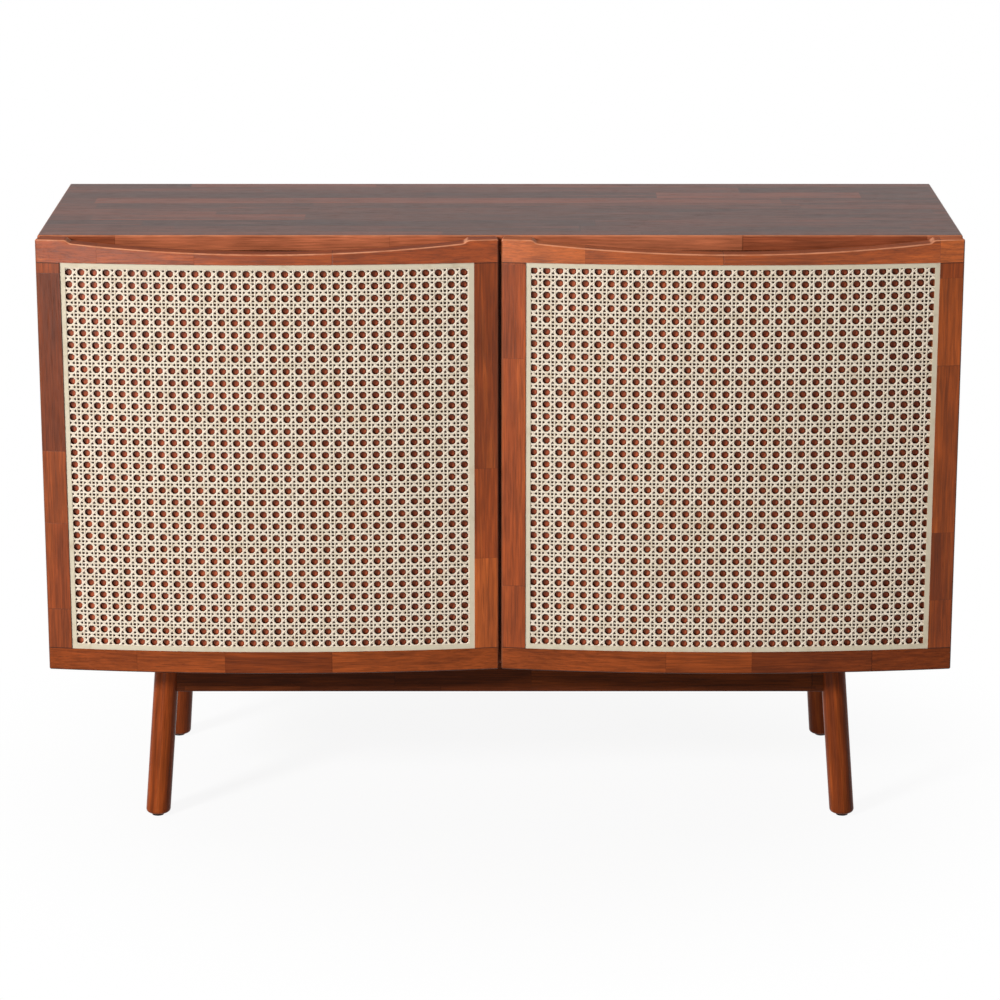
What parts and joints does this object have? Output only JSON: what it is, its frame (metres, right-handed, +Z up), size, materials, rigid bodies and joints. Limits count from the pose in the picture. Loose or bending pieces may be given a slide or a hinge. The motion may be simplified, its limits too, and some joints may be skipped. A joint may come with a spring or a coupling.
{
  "type": "record cabinet",
  "caption": "Low wooden record cabinet on splayed round legs, with bowed cane-webbed doors, scooped finger pulls along their top edges, and shelves inside.",
  "frame": {"origin": "on the floor, under the middle of the cabinet's bounding box", "axes": "+X along the width to the right as seen from the front, +Y to the back, +Z up"},
  "size_m": [1.2, 0.4208, 0.804],
  "materials": {
    "case_wood": "red-brown finger-jointed hardwood, satin lacquer",
    "door_wood": "red-brown hardwood, satin lacquer, staves along each member",
    "base_wood": "red-brown turned hardwood, satin lacquer",
    "backing_board": "stained veneered board behind the cane",
    "back_board": "thin stained plywood",
    "dowel_wood": "plain beech dowel",
    "cane": "natural cane webbing with flat border strip",
    "hinge_brass": "satin brass",
    "screw_steel": "zinc-plated steel",
    "glide_plastic": "black moulded plastic",
    "bumper_rubber": "soft grey rubber"
  },
  "bodies": {
    "cabinet": {"top_panel": "case_wood", "bottom_panel": "case_wood", "left_side_panel": "case_wood", "right_side_panel": "case_wood", "centre_divider": "case_wood", "left_shelf": "case_wood", "right_shelf": "case_wood", "case_dowels": "dowel_wood", "back_panel": "back_board", "back_panel_screws": "screw_steel", "shelf_pins": "screw_steel", "front_base_rail": "base_wood", "back_base_rail": "base_wood", "left_base_rail": "base_wood", "right_base_rail": "base_wood", "base_screws": "screw_steel", "front_left_leg": "base_wood", "front_right_leg": "base_wood", "back_left_leg": "base_wood", "back_right_leg": "base_wood", "leg_glides": "glide_plastic", "hinge_pins": "screw_steel", "cabinet_hinge_screws": "hinge_brass", "magnetic_catches": "screw_steel", "door_bumpers": "bumper_rubber", "left_hinge_cabinet_leaves": "hinge_brass", "right_hinge_cabinet_leaves": "hinge_brass"},
    "left_door": {"left_door_top_rail": "door_wood", "left_door_bottom_rail": "door_wood", "left_door_hinge_stile": "door_wood", "left_door_meeting_stile": "door_wood", "left_door_dowels": "dowel_wood", "left_door_backing_panel": "backing_board", "left_door_cane_webbing": "cane", "left_door_cane_border": "cane", "left_door_hinge_leaves": "hinge_brass", "left_door_screws": "hinge_brass", "left_door_strike_plate": "screw_steel"},
    "right_door": {"right_door_top_rail": "door_wood", "right_door_bottom_rail": "door_wood", "right_door_hinge_stile": "door_wood", "right_door_meeting_stile": "door_wood", "right_door_dowels": "dowel_wood", "right_door_backing_panel": "backing_board", "right_door_cane_webbing": "cane", "right_door_cane_border": "cane", "right_door_hinge_leaves": "hinge_brass", "right_door_screws": "hinge_brass", "right_door_strike_plate": "screw_steel"}
  },
  "joints": [
    {"name": "left_door_hinge", "type": "hinge", "parent": "cabinet", "child": "left_door", "pos_m": [-0.597, -0.16412, 0.513], "axis": [0, 0, -1], "range_deg": [0, 110]},
    {"name": "right_door_hinge", "type": "hinge", "parent": "cabinet", "child": "right_door", "pos_m": [0.597, -0.16412, 0.513], "axis": [0, 0, 1], "range_deg": [0, 110]}
  ]
}
